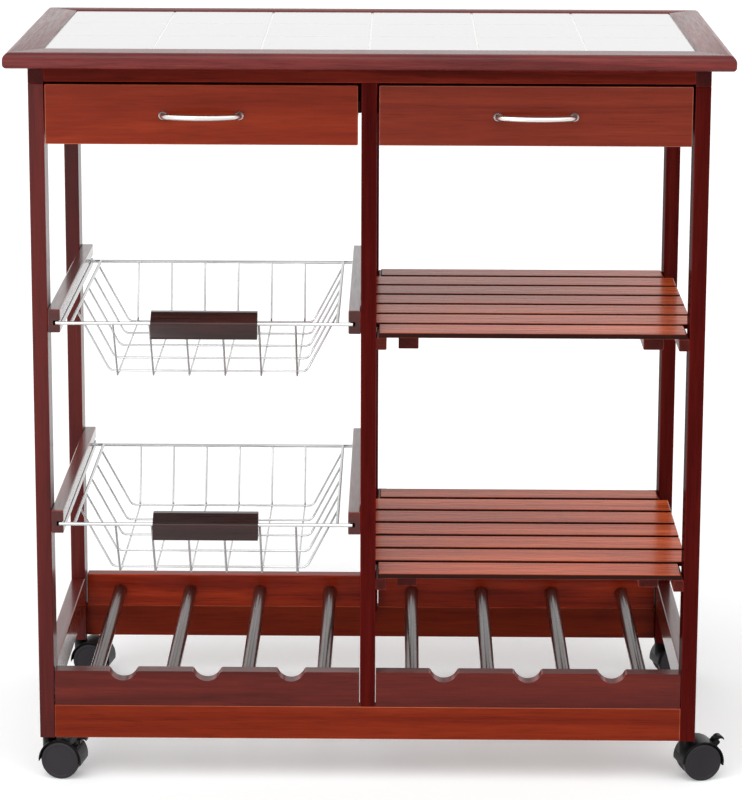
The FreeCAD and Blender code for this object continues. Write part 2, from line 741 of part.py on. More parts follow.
def bent_wire(corners, bend, radius):
    """A round wire along straight runs joined by arcs of one bend radius."""
    edges = []
    start = corners[0]
    for index in range(1, len(corners) - 1):
        corner = corners[index]
        before = (corners[index - 1] - corner).normalize()
        after = (corners[index + 1] - corner).normalize()
        half_angle = before.getAngle(after) / 2
        back_off = bend / math.tan(half_angle)
        middle_way = (before + after).normalize()
        centre = corner + middle_way * (bend / math.sin(half_angle))
        first = corner + before * back_off
        last = corner + after * back_off
        edges.append(Part.LineSegment(start, first).toShape())
        edges.append(Part.Arc(first, centre - middle_way * bend, last).toShape())
        start = last
    edges.append(Part.LineSegment(start, corners[-1]).toShape())
    ring = Part.Wire(Part.makeCircle(radius, corners[0], corners[1] - corners[0]))
    return Part.Wire(edges).makePipeShell([ring], True, False)


def straight_wire(start, end, radius):
    run = end - start
    return Part.makeCylinder(radius, run.Length, start, run)


def basket_shape():
    """The welded basket. Origin: the middle of the front rim wire."""
    half = size("basket_width") / 2
    length = size("basket_length")
    drop = size("basket_drop")
    mesh = size("mesh_wire_radius")
    bend = size("wire_bend_radius")
    point = FreeCAD.Vector
    wires = []
    for y in (0, length):
        wires.append(straight_wire(point(-half, y, 0), point(half, y, 0), size("rim_wire_radius")))
    for inset, radius in (("side_rod_inset", "side_rod_radius"), ("side_wire_inset", "side_wire_radius")):
        for sign in (-1, 1):
            x = sign * (half - size(inset))
            wires.append(straight_wire(point(x, 0, 0), point(x, length, 0), size(radius)))
    for index in range(LONG_WIRES):
        x = (index - (LONG_WIRES - 1) / 2) * size("long_wire_pitch")
        run = [point(x, 0, 0), point(x, size("front_wall_slope"), -drop),
               point(x, length - size("back_wall_slope"), -drop), point(x, length, 0)]
        wires.append(bent_wire(run, bend, mesh))
    level = -drop + 2 * mesh - size("weld_sink")
    top_x = half - size("side_wire_inset")
    bottom_x = top_x - size("side_wall_slope")
    for index in range(CROSS_WIRES):
        y = size("cross_wire_start") + index * size("cross_wire_pitch")
        run = [point(-top_x, y, 0), point(-bottom_x, y, level),
               point(bottom_x, y, level), point(top_x, y, 0)]
        wires.append(bent_wire(run, bend, mesh))
    return wires[0].multiFuse(wires[1:]).removeSplitter()


def grip_shape():
    """The wooden grip on the front rim wire, with a sloped upper front face. Origin as the basket's."""
    back = size("grip_depth") / 2
    front = -back
    low = -size("grip_below_rim")
    high = low + size("grip_height")
    shoulder = high - size("grip_slope_height")
    crest = front + size("grip_slope_depth")
    half = size("grip_width") / 2
    outline = [(back, low), (front, low), (front, shoulder), (crest, high), (back, high), (back, low)]
    face = Part.Face(Part.makePolygon([FreeCAD.Vector(-half, y, z) for y, z in outline]))
    block = face.extrude(FreeCAD.Vector(2 * half, 0, 0))
    long_edges = [edge for edge in block.Edges if abs(edge.CenterOfMass.x) < half / 2]
    block = block.makeFillet(size("grip_round"), long_edges)
    bore = size("rim_wire_radius") + size("wire_clearance")
    across = FreeCAD.Vector(1, 0, 0)
    block = block.cut(Part.makeCylinder(bore, 2 * half, FreeCAD.Vector(-half, 0, 0), across))
    slot = size("grip_wire_slot")
    for index in range(LONG_WIRES):
        x = (index - (LONG_WIRES - 1) / 2) * size("long_wire_pitch")
        if abs(x) < half:
            corner = FreeCAD.Vector(x - slot / 2, -slot / 2, low - slot)
            block = block.cut(Part.makeBox(slot, back + slot, -low + slot, corner))
    return block


def make_baskets():
    basket = basket_shape()
    grip = grip_shape()
    for level in ("upper", "lower"):
        for label, shape in ((f"{level}_basket", basket), (f"{level}_basket_grip", grip)):
            item = doc.addObject("Part::Feature", label)
            item.Shape = shape
            place(item, "-bay_centre", "basket_front", f"{level}_basket_height")
            node(item, label)


# Slatted shelves: bearers on the posts, slats, and two battens under the inner slats
def make_shelves():
    bearers = []
    battens = []
    for level in ("upper", "lower"):
        under = f"{level}_shelf_height - slat_thickness"
        for side, x, batten_x in (
                ("left", "centre_edge", "centre_edge + shelf_batten_inset"),
                ("right", "post_inner - bearer_width",
                 "post_inner - shelf_batten_inset - shelf_batten_width")):
            bearer = box(f"{level}_{side}_bearer_blank", "bearer_width", "rail_length", "bearer_height",
                         x, "frame_front", f"{under} - bearer_height")
            bearers.append(eased(bearer, f"{level}_{side}_bearer", "edge_round"))
            batten = box(f"{level}_{side}_shelf_batten_blank", "shelf_batten_width",
                         f"{SLATS - 2} * slat_pitch", "shelf_batten_height", batten_x,
                         "frame_front + slat_width", f"{under} - shelf_batten_height")
            battens.append(eased(batten, f"{level}_{side}_shelf_batten", "edge_round"))
        slats = []
        for index in range(SLATS):
            outer = index in (0, SLATS - 1)
            length = "shelf_inner_width" if outer else "bay_width + 2 * slat_overlap"
            width = "back_slat_width" if index == SLATS - 1 else "slat_width"
            blank = box(f"{level}_slat_blank_{index}", length, width, "slat_thickness",
                        f"bay_centre - ({length}) / 2", f"frame_front + {index} * slat_pitch", under)
            slats.append(eased(blank, f"{level}_slat_{index}", "edge_round"))
        group(f"{level}_shelf_slats", slats)
    group("shelf_bearers", bearers)
    group("shelf_battens", battens)


# Casters: a hood that swivels in a socket in the post, a pair of wheels on an axle, a brake lever
def hood_shape(with_brake):
    """Hood, web, stem and, on a braked caster, the lever's ears and pin. Origin: stem axis on the floor."""
    point = FreeCAD.Vector
    along = point(0, 1, 0)
    trail = size("caster_trail")
    height = size("axle_height")
    width = size("hood_width")
    web = size("web_width")
    radius = size("hood_radius")
    past = size("overrun")
    body = Part.makeCylinder(radius, width, point(trail, -width / 2, height), along)
    boss = Part.makeCylinder(size("boss_radius"), size("boss_top") - height, point(0, 0, height))
    body = body.fuse(boss)
    inner = radius - size("hood_wall")
    room = (width - web) / 2 + past
    for y in (web / 2, -web / 2 - room):
        body = body.cut(Part.makeCylinder(inner, room, point(trail, y, height), along))
        stray = size("boss_radius") + past
        body = body.cut(Part.makeBox(2 * stray, room, height, point(-stray, y, 0)))
    skirt = height - size("hood_skirt")
    below = point(trail - 2 * radius, -width / 2 - past, skirt - 2 * radius)
    body = body.cut(Part.makeBox(4 * radius, width + 2 * past, 2 * radius, below))
    body = body.fuse(Part.makeCylinder(size("axle_eye_radius"), web, point(trail, -web / 2, height), along))
    stem_top = size("foot_clearance") + size("stem_length") - past
    body = body.fuse(Part.makeCylinder(size("stem_radius"), stem_top - size("boss_top") + past,
                                       point(0, 0, size("boss_top") - past)))
    hole = size("axle_radius") + size("axle_clearance")
    body = body.cut(Part.makeCylinder(hole, web + 2 * past, point(trail, -web / 2 - past, height), along))
    if with_brake:
        pin = lever_pin_place()
        inner_face = size("lever_width") / 2 + size("lever_side_gap")
        ear = size("lever_ear_width")
        barrel = size("lever_barrel_radius")
        for y in (inner_face, -inner_face - ear):
            plate = Part.makeCylinder(barrel, ear, point(pin.x, y, pin.z), along)
            share = inner / size("lever_pin_distance")
            toe = point(trail, y, height) + (pin - point(trail, 0, height)) * share
            reach = pin - point(toe.x, 0, toe.z)
            bridge = Part.makeBox(reach.Length, ear, 2 * barrel, point(0, 0, -barrel))
            bridge.rotate(point(), along, -size("lever_pin_angle"))
            bridge.translate(point(toe.x, y, toe.z))
            body = body.fuse(plate).fuse(bridge)
        body = body.fuse(Part.makeCylinder(size("lever_pin_radius"), 2 * inner_face,
                                           point(pin.x, -inner_face, pin.z), along))
        for y in (web / 2, -web / 2 - room):
            body = body.cut(Part.makeCylinder(inner, room, point(trail, y, height), along))
    return body.removeSplitter()


def lever_pin_place():
    angle = math.radians(size("lever_pin_angle"))
    distance = size("lever_pin_distance")
    return FreeCAD.Vector(size("caster_trail") + distance * math.cos(angle), 0,
                          size("axle_height") + distance * math.sin(angle))


def lever_shape():
    """The foot lever: a barrel on its pin and a curved tab that stands up and outwards."""
    point = FreeCAD.Vector
    pin = lever_pin_place()
    barrel = size("lever_barrel_radius")
    width = size("lever_width")
    reach = size("lever_reach")
    rise = size("lever_rise")
    thick = size("lever_thickness")
    tip = rise * lever_tip_share
    under = Part.Arc(point(pin.x + barrel * lever_root_share, 0, pin.z + barrel * lever_root_share),
                     point(pin.x + reach * lever_crown_share, 0, pin.z + rise - thick),
                     point(pin.x + reach, 0, pin.z + tip))
    over = Part.Arc(point(pin.x + reach, 0, pin.z + tip + thick * lever_nose_share),
                    point(pin.x + reach * lever_crown_share, 0, pin.z + rise),
                    point(pin.x - barrel * lever_heel_share, 0, pin.z + barrel * lever_root_share))
    wire = Part.Wire([under.toShape(),
                      Part.LineSegment(under.EndPoint, over.StartPoint).toShape(),
                      over.toShape(),
                      Part.LineSegment(over.EndPoint, under.StartPoint).toShape()])
    tab = Part.Face(wire).extrude(point(0, width, 0))
    tab.translate(point(0, -width / 2, 0))
    along = point(0, 1, 0)
    body = tab.fuse(Part.makeCylinder(barrel, width, point(pin.x, -width / 2, pin.z), along))
    hole = size("lever_pin_radius") + size("axle_clearance")
    body = body.cut(Part.makeCylinder(hole, width, point(pin.x, -width / 2, pin.z), along))
    return body.removeSplitter()


def wheel_shape():
    """One wheel of the pair, turned about Y, its inner face at y = 0 and its dished face outside."""
    radius = size("wheel_radius")
    width = size("wheel_width")
    dish = size("wheel_dish_depth")
    margin = size("wheel_dish_margin")
    bore = size("axle_radius")
    depth = width * bore_depth_share
    outline = [(bore, 0), (radius, 0), (radius, width), (radius - margin, width),
               (radius - margin - dish, width - dish), (0, width - dish), (0, depth),
               (bore, depth), (bore, 0)]
    face = Part.Face(Part.makePolygon([FreeCAD.Vector(r, y, 0) for r, y in outline]))
    wheel = face.revolve(FreeCAD.Vector(), FreeCAD.Vector(0, 1, 0), 360)
    rims = [edge for edge in wheel.Edges if abs(edge.BoundBox.XLength - 2 * radius) < size("axle_clearance")
            and edge.BoundBox.YLength < size("axle_clearance")]
    return wheel.makeFillet(size("wheel_round"), rims)


def wheel_pair_shape():
    offset = size("web_width") / 2 + size("wheel_gap")
    centre = FreeCAD.Vector(size("caster_trail"), offset, size("axle_height"))
    right = wheel_shape()
    right.translate(centre)
    left = right.mirror(FreeCAD.Vector(), FreeCAD.Vector(0, 1, 0))
    return Part.makeCompound([left, right])


def axle_shape():
    half = size("web_width") / 2 + size("wheel_gap") + size("wheel_width") * bore_depth_share
    start = FreeCAD.Vector(size("caster_trail"), -half, size("axle_height"))
    return Part.makeCylinder(size("axle_radius"), 2 * half, start, FreeCAD.Vector(0, 1, 0))


def make_casters():
    sockets = []
    wheels = wheel_pair_shape()
    axle = axle_shape()
    for end, y in (("front", "-1 * caster_y"), ("back", "caster_y")):
        hood = hood_shape(end == "front")
        for side, x in (("left", "-1 * caster_x"), ("right", "caster_x")):
            shapes = [("caster_hood", hood), ("caster_wheels", wheels), ("caster_axle", axle)]
            if end == "front":
                shapes.append(("brake_lever", lever_shape()))
            for word, shape in shapes:
                item = doc.addObject("Part::Feature", f"{end}_{side}_{word}")
                item.Shape = shape
                place(item, x, y)
                item.Placement.Rotation.Axis = FreeCAD.Vector(0, 0, 1)
                bind(item, "Placement.Rotation.Angle", f"{end}_{side}_turn * 1deg")
                node(item, f"{end}_{side}_{word}")
            name = f"{end}_{side}_socket"
            sleeve = cylinder(name + "_sleeve", "socket_radius", "stem_length", x, y, "foot_clearance")
            flange = cylinder(name + "_flange", "socket_flange_radius", "socket_flange_thickness", x, y,
                              "foot_clearance - socket_flange_thickness")
            bore = cylinder(name + "_bore", "stem_radius + stem_clearance",
                            "stem_length + socket_flange_thickness + 2 * overrun", x, y,
                            "foot_clearance - socket_flange_thickness - overrun")
            sockets.append(cut(name, fuse(name + "_blank", [sleeve, flange]), bore))
    group("caster_sockets", sockets)


make_worktop()
make_frame()
make_rack()
make_runners()
make_drawer("left", "-1 * bay_centre - drawer_left_shift")
make_drawer("right", "bay_centre")
make_basket_rails()
make_baskets()
make_shelves()
make_casters()
doc.recompute()

for item in doc.Objects:
    if "Invalid" in item.State or "Error" in item.State:
        raise RuntimeError(f"{item.Label} failed: {item.State}")
for item in nodes:
    if item.Shape.isNull() or not item.Shape.isValid():
        raise RuntimeError(f"{item.Label} has no valid shape")

os.makedirs("parts", exist_ok=True)
for item in nodes:
    item.Shape.exportStep(f"parts/{item.Label}.step")
print(len(nodes), "nodes written")
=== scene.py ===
import bpy
import bmesh
import json
import math
from mathutils import Euler, Matrix, Vector

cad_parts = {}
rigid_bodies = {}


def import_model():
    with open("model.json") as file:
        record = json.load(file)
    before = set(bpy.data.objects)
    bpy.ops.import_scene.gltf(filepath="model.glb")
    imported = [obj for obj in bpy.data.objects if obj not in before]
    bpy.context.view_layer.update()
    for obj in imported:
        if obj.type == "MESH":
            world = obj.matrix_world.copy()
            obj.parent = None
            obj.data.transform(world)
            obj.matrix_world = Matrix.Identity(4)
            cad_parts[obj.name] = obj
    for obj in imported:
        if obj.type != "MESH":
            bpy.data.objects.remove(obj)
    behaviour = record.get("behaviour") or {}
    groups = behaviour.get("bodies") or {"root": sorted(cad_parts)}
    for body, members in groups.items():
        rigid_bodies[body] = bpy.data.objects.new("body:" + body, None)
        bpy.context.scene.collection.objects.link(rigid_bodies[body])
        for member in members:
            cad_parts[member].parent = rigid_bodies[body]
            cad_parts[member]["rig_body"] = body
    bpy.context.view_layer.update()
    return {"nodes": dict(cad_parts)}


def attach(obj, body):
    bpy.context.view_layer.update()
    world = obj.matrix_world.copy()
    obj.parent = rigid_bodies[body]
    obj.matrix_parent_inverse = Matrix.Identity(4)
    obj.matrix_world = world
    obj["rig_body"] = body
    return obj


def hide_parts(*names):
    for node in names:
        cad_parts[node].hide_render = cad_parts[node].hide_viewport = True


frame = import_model()
scene = bpy.context.scene
scene.view_settings.view_transform = "Standard"
NODES = frame["nodes"]

# Camera, fitted to the photograph: its focal length in the photograph's pixels, its turns in degrees
FOCAL_PIXELS = 3149.7
PHOTO_HEIGHT = 800
SENSOR_WIDTH = 36
PICTURE_SHIFT = -0.12
CAMERA_PLACE = (0.0305, -3.2724, 1.1599)
CAMERA_YAW = 0.52
CAMERA_DIP = 11.94
CAMERA_ROLL = 0.19

# Stain colours: dark, middle and light of each kind of board. The left posts' set is the post stain
# painted lighter, as lit from the left, and the drawer fronts' sets are painted lighter on the left front
# and darker on the right
POST = ((0.042, 0.0020, 0.0017), (0.070, 0.0040, 0.0030), (0.100, 0.0080, 0.0050))
# The post stain painted lighter for the left posts: painted light from the left
POST_PAINTED_LIT = ((0.052, 0.0024, 0.0019), (0.084, 0.0045, 0.0032), (0.120, 0.0090, 0.0055))
APRON = ((0.078, 0.0058, 0.0032), (0.126, 0.0104, 0.0056), (0.178, 0.0180, 0.0092))
TRIM = ((0.088, 0.0095, 0.0090), (0.152, 0.0190, 0.0168), (0.218, 0.0340, 0.0280))
# Drawer fronts: one stain, painted lighter on the left front as lit from the left, and darker on the right
# front as shaded
LEFT_FRONT_PAINTED_LIT = ((0.155, 0.0130, 0.0036), (0.212, 0.0205, 0.0054), (0.266, 0.0305, 0.0080))
RIGHT_FRONT_PAINTED_SHADE = ((0.122, 0.0120, 0.0046), (0.172, 0.0190, 0.0070), (0.218, 0.0285, 0.0100))
RAIL = ((0.130, 0.0110, 0.0030), (0.180, 0.0170, 0.0042), (0.225, 0.0250, 0.0062))
RACK = ((0.062, 0.0058, 0.0036), (0.097, 0.0090, 0.0055), (0.140, 0.0155, 0.0080))
BACK = ((0.205, 0.0135, 0.0034), (0.320, 0.0265, 0.0062), (0.440, 0.0460, 0.0105))
BEARER = ((0.075, 0.0075, 0.0050), (0.125, 0.0145, 0.0095), (0.180, 0.0250, 0.0150))
SLAT = ((0.375, 0.0470, 0.0114), (0.600, 0.0960, 0.0214), (0.790, 0.1620, 0.0430))
GRIP = ((0.014, 0.0038, 0.0035), (0.030, 0.0070, 0.0060), (0.052, 0.0120, 0.0095))
DOWEL = ((0.024, 0.0066, 0.0054), (0.041, 0.0118, 0.0092), (0.067, 0.0205, 0.0150))
BOX = ((0.130, 0.0300, 0.0130), (0.220, 0.0600, 0.0250), (0.320, 0.1000, 0.0450))

# Factors on a board's colour: paler edges of most boards, paler edges of fronts and bottom rails, both
# worn edges and a painted highlight on the edges' rounding, and painted shade on the slat sides
# Edge factors: wear and a painted highlight on the rounded edges
EDGE_WEAR_AND_HIGHLIGHT_DARK = (2.2, 2.6, 3.0)
EDGE_WEAR_AND_HIGHLIGHT_PALE = (2.6, 6.5, 12.0)
# Painted shade: how much darker the slats' sides are than their tops
SLAT_SIDE_SHADE = (0.04, 0.03, 0.05)

# The layers of a wood's figure, as noise with its scale per metre
BANDS = dict(scale=38.0, detail=4.0, roughness=0.55, distortion=1.2)
FIBRES = dict(scale=420.0, roughness=0.6)
PORES = dict(scale=900.0, detail=2.0)
BLOTCHES = dict(scale=6.0, detail=2.0)

# How far a layer is drawn out along the grain, and the offsets that keep layers and boards from repeating
BAND_STRETCH = 0.05
PORE_STRETCH = 0.03
BLOTCH_STRETCH = 0.22
PORE_OFFSET = 2.3
BLOTCH_OFFSET = 5.1
BOARD_OFFSET = 3.7
SEED_SPREAD = (1.0, 0.7, 1.3)

# Where each layer's colour turns, and how strongly the layer shows
WHITE = (1.0, 1.0, 1.0)
BLACK = (0.0, 0.0, 0.0)
BAND_PLACES = (0.30, 0.50, 0.72)
FIBRE_STOPS = ((0.35, (0.72, 0.70, 0.70)), (0.62, (1.06, 1.05, 1.04)))
BLOTCH_STOPS = ((0.35, (0.74, 0.70, 0.72)), (0.65, (1.12, 1.14, 1.12)))
PORE_STOPS = ((0.36, (0.45, 0.42, 0.42)), (0.44, WHITE))
FIBRE_SHARE = 0.75
BLOTCH_SHARE = 0.7
PORE_SHARE = 0.5

# Colour by the way a face looks: darker cut ends, painted shade on a thin board's sides, and edges paled
# in patches, as wear and a painted highlight
CUT_END_STOPS = ((0.85, WHITE), (0.95, (0.66, 0.58, 0.56)))
SIDE_PLACES = (0.60, 0.92)
EDGE_STOPS = ((0.86, WHITE), (0.99, BLACK))
PATCH_STOPS = ((0.30, (0.25, 0.25, 0.25)), (0.60, WHITE))

# Lacquer on wood, and how high its fibres and bands stand in the bump
LACQUER_ROUGHNESS = 0.16
LACQUER_IOR = 1.3
GLOSSIER = 0.06
DULLER = 0.08
WOOD_BUMP = 0.12
WOOD_BUMP_DEPTH = 0.0004
FIBRE_HEIGHT = 0.6
BAND_HEIGHT = 0.4

# Metal, plastic and glaze
CLOUD_SCALE = 9.0
FINE_DETAIL = 2.0
GLOSSIER_SHARE = 0.85
DULLER_SHARE = 1.2
GLAZE_ROUGHNESS = 0.05
PLAIN_BUMP = 0.15

# The range of a noise that a colour or a roughness follows, and a colour Mix node's sockets
NOISE_LOW = 0.3
NOISE_HIGH = 0.7
MIX_INPUTS = (0, 6, 7)
MIX_RESULT = 2

# Copies of the CAD's shapes, in metres and degrees
WELD = 0.000002
SLIVER = 0.000001
FLAT_ANGLE = 1.0
SHARP_ANGLE = 40.0
TILE_EASE = 0.0004
EASE_SEGMENTS = 2

# A shelf's slats: what is wider than any step in a rounded edge, and a share of the pitch before the first
WIDEST_STEP = 0.003
BEFORE_SHARE = 0.07

# Floor and light
FLOOR_REACH = 9
FLOOR_COLOUR = (0.93, 0.93, 0.93, 1)
FLOOR_LIFT = 0.21
FLOOR_LIFT_COLOUR = (0.95, 1.0, 1.0, 1)
FLOOR_ROUGHNESS = 0.9
FLOOR_SHINE = 0.1
SOFT_LIGHT = 0.66
SEEN_LIGHT = 1.0
SUNS = (("key", 1.0, 50, (28, -22, 0)), ("fill", 0.75, 60, (48, 30, 0)))
PANEL_POWER = 14
PANEL_SIZE = 0.8
PANEL_PLACE = (-1.35, -2.6, 0.35)
PANEL_AIM = (-0.2, -0.2, 0.45)


# Camera: the photograph's viewing angle, in front of the trolley and above its worktop
def make_camera():
    data = bpy.data.cameras.new("camera")
    data.sensor_width = SENSOR_WIDTH
    data.lens = FOCAL_PIXELS * SENSOR_WIDTH / PHOTO_HEIGHT
    data.shift_y = PICTURE_SHIFT
    camera = bpy.data.objects.new("camera", data)
    scene.collection.objects.link(camera)
    turn = Matrix.Rotation(math.radians(CAMERA_YAW), 4, "Z")
    tilt = Matrix.Rotation(math.radians(90 - CAMERA_DIP), 4, "X")
    roll = Matrix.Rotation(math.radians(CAMERA_ROLL), 4, "Z")
    camera.matrix_world = Matrix.Translation(CAMERA_PLACE) @ turn @ tilt @ roll
    scene.camera = camera


# Shader nodes
def node_tree(material):
    material.use_nodes = True
    tree = material.node_tree
    tree.nodes.clear()
    output = tree.nodes.new("ShaderNodeOutputMaterial")
    surface = tree.nodes.new("ShaderNodeBsdfPrincipled")
    tree.links.new(surface.outputs["BSDF"], output.inputs["Surface"])
    return tree, surface


def math_node(tree, operation, first, second=None):
    node = tree.nodes.new("ShaderNodeMath")
    node.operation = operation
    for socket, value in zip(node.inputs, (first, second)):
        if hasattr(value, "is_linked"):
            tree.links.new(value, socket)
        elif value is not None:
            socket.default_value = value
    return node.outputs[0]


def noise(tree, vector, scale, detail=3.0, roughness=0.5, distortion=0.0):
    node = tree.nodes.new("ShaderNodeTexNoise")
    node.inputs["Scale"].default_value = scale
    node.inputs["Detail"].default_value = detail
    node.inputs["Roughness"].default_value = roughness
    node.inputs["Distortion"].default_value = distortion
    tree.links.new(vector, node.inputs["Vector"])
    return node.outputs["Fac"]


def ramp(tree, factor, stops):
    node = tree.nodes.new("ShaderNodeValToRGB")
    elements = node.color_ramp.elements
    elements[0].position, elements[0].color = stops[0][0], (*stops[0][1], 1)
    elements[1].position, elements[1].color = stops[-1][0], (*stops[-1][1], 1)
    for place, colour in stops[1:-1]:
        elements.new(place).color = (*colour, 1)
    tree.links.new(factor, node.inputs["Fac"])
    return node.outputs["Color"]


def mix(tree, blend, factor, first, second):
    node = tree.nodes.new("ShaderNodeMix")
    node.data_type = "RGBA"
    node.blend_type = blend
    for index, value in zip(MIX_INPUTS, (factor, first, second)):
        socket = node.inputs[index]
        if hasattr(value, "is_linked"):
            tree.links.new(value, socket)
        else:
            socket.default_value = value if isinstance(value, float) else (*value, 1)
    return node.outputs[MIX_RESULT]


def stretched(tree, along, ratio, seed, board_step=None):
    """Object coordinates squeezed along the grain, so that noise draws long fibres."""
    place = tree.nodes.new("ShaderNodeTexCoord").outputs["Object"]
    if board_step:
        axis, start, pitch = board_step
        split = tree.nodes.new("ShaderNodeSeparateXYZ")
        tree.links.new(place, split.inputs[0])
        beyond = math_node(tree, "SUBTRACT", split.outputs[axis], start)
        count = math_node(tree, "FLOOR", math_node(tree, "DIVIDE", beyond, pitch))
        shift = math_node(tree, "MULTIPLY", count, BOARD_OFFSET)
        moved = tree.nodes.new("ShaderNodeCombineXYZ")
        for letter in "XYZ":
            tree.links.new(math_node(tree, "ADD", split.outputs[letter], shift), moved.inputs[letter])
        place = moved.outputs[0]
    mapping = tree.nodes.new("ShaderNodeMapping")
    mapping.inputs["Location"].default_value = tuple(seed * spread for spread in SEED_SPREAD)
    mapping.inputs["Scale"].default_value = tuple(ratio if letter == along else 1.0 for letter in "XYZ")
    tree.links.new(place, mapping.inputs["Vector"])
    return mapping.outputs["Vector"]


def uneven_gloss(tree, surface, factor, glossy, dull):
    rough = tree.nodes.new("ShaderNodeMapRange")
    rough.inputs["From Min"].default_value = NOISE_LOW
    rough.inputs["From Max"].default_value = NOISE_HIGH
    rough.inputs["To Min"].default_value = glossy
    rough.inputs["To Max"].default_value = dull
    tree.links.new(factor, rough.inputs["Value"])
    tree.links.new(rough.outputs["Result"], surface.inputs["Roughness"])


def bumpy(tree, surface, height, strength, depth):
    bump = tree.nodes.new("ShaderNodeBump")
    bump.inputs["Strength"].default_value = strength
    bump.inputs["Distance"].default_value = depth
    tree.links.new(height, bump.inputs["Height"])
    tree.links.new(bump.outputs["Normal"], surface.inputs["Normal"])


# Materials
def face_shading(tree, colour, along, blotch, sides, wear_and_highlight):
    """The colour with darker cut ends, painted shade on the sides of a thin board, and edges paled in
    patches as wear and a painted highlight.
    """
    facing = tree.nodes.new("ShaderNodeSeparateXYZ")
    tree.links.new(tree.nodes.new("ShaderNodeNewGeometry").outputs["Normal"], facing.inputs[0])
    turned = {letter: math_node(tree, "ABSOLUTE", facing.outputs[letter]) for letter in "XYZ"}
    cut_end = ramp(tree, turned[along], CUT_END_STOPS)
    colour = mix(tree, "MULTIPLY", 1.0, colour, cut_end)
    # Painted shade on the sides of a thin board, by how far a face turns from up
    if sides:
        shade = ramp(tree, turned["Z"], list(zip(SIDE_PLACES, (sides, WHITE))))
        colour = mix(tree, "MULTIPLY", 1.0, colour, shade)
    # Edges paled in patches: wear and a painted highlight on the rounding
    if wear_and_highlight:
        level = math_node(tree, "MAXIMUM", turned["X"], turned["Y"])
        edge = ramp(tree, math_node(tree, "MAXIMUM", level, turned["Z"]), EDGE_STOPS)
        wear_and_highlight_mask = mix(tree, "MULTIPLY", 1.0, edge, ramp(tree, blotch, PATCH_STOPS))
        colour = mix(tree, "MIX", wear_and_highlight_mask, colour, mix(tree, "MULTIPLY", 1.0, colour, wear_and_highlight))
    return colour


def wood(name, along, stain, seed, board_step=None, gloss=0.34, coat=0.3, shine=0.14,
         sides=None, wear_and_highlight=EDGE_WEAR_AND_HIGHLIGHT_DARK, figure=1.0):
    """Lacquered, stained hardwood: growth bands, long fibres, fine pores and blotches of stain."""
    material = bpy.data.materials.new(name)
    tree, surface = node_tree(material)
    grain = stretched(tree, along, BAND_STRETCH, seed, board_step)
    bands = noise(tree, grain, **BANDS)
    fibres = noise(tree, grain, **FIBRES)
    pores = noise(tree, stretched(tree, along, PORE_STRETCH, seed + PORE_OFFSET, board_step), **PORES)
    broad = stretched(tree, along, BLOTCH_STRETCH, seed + BLOTCH_OFFSET, board_step)
    blotch = noise(tree, broad, **BLOTCHES)
    colour = ramp(tree, bands, list(zip(BAND_PLACES, stain)))
    for layer, stops, share in ((fibres, FIBRE_STOPS, FIBRE_SHARE), (blotch, BLOTCH_STOPS, BLOTCH_SHARE),
                                (pores, PORE_STOPS, PORE_SHARE)):
        colour = mix(tree, "MULTIPLY", share * figure, colour, ramp(tree, layer, stops))
    colour = face_shading(tree, colour, along, blotch, sides, wear_and_highlight)
    tree.links.new(colour, surface.inputs["Base Color"])
    uneven_gloss(tree, surface, fibres, gloss - GLOSSIER, gloss + DULLER)
    surface.inputs["Specular IOR Level"].default_value = shine
    surface.inputs["Coat Weight"].default_value = coat
    surface.inputs["Coat Roughness"].default_value = LACQUER_ROUGHNESS
    surface.inputs["Coat IOR"].default_value = LACQUER_IOR
    height = math_node(tree, "ADD", math_node(tree, "MULTIPLY", fibres, FIBRE_HEIGHT),
                       math_node(tree, "MULTIPLY", bands, BAND_HEIGHT))
    bumpy(tree, surface, height, WOOD_BUMP, WOOD_BUMP_DEPTH)
    return material


def plain(name, colour, variation, roughness, metallic=0.0, coat=0.0, shine=0.5, grain=900.0,
          bump_depth=0.0001, seed=0.0):
    """Metal, plastic or glaze: a colour that varies a little, uneven gloss and a fine surface."""
    material = bpy.data.materials.new(name)
    tree, surface = node_tree(material)
    place = stretched(tree, "Z", 1.0, seed)
    cloud = noise(tree, place, CLOUD_SCALE)
    fine = noise(tree, place, grain, detail=FINE_DETAIL)
    low = tuple(max(0.0, channel * (1 - variation)) for channel in colour)
    high = tuple(min(1.0, channel * (1 + variation)) for channel in colour)
    shade = ramp(tree, cloud, [(NOISE_LOW, low), (NOISE_HIGH, high)])
    tree.links.new(shade, surface.inputs["Base Color"])
    uneven_gloss(tree, surface, cloud, roughness * GLOSSIER_SHARE, roughness * DULLER_SHARE)
    surface.inputs["Metallic"].default_value = metallic
    surface.inputs["Specular IOR Level"].default_value = shine
    surface.inputs["Coat Weight"].default_value = coat
    surface.inputs["Coat Roughness"].default_value = GLAZE_ROUGHNESS
    bumpy(tree, surface, fine, PLAIN_BUMP, bump_depth)
    return material


# Pieces: CAD nodes with a material, or finer copies that stand for them
def paint(material, *names):
    for name in names:
        mesh = NODES[name].data
        mesh.materials.clear()
        mesh.materials.append(material)


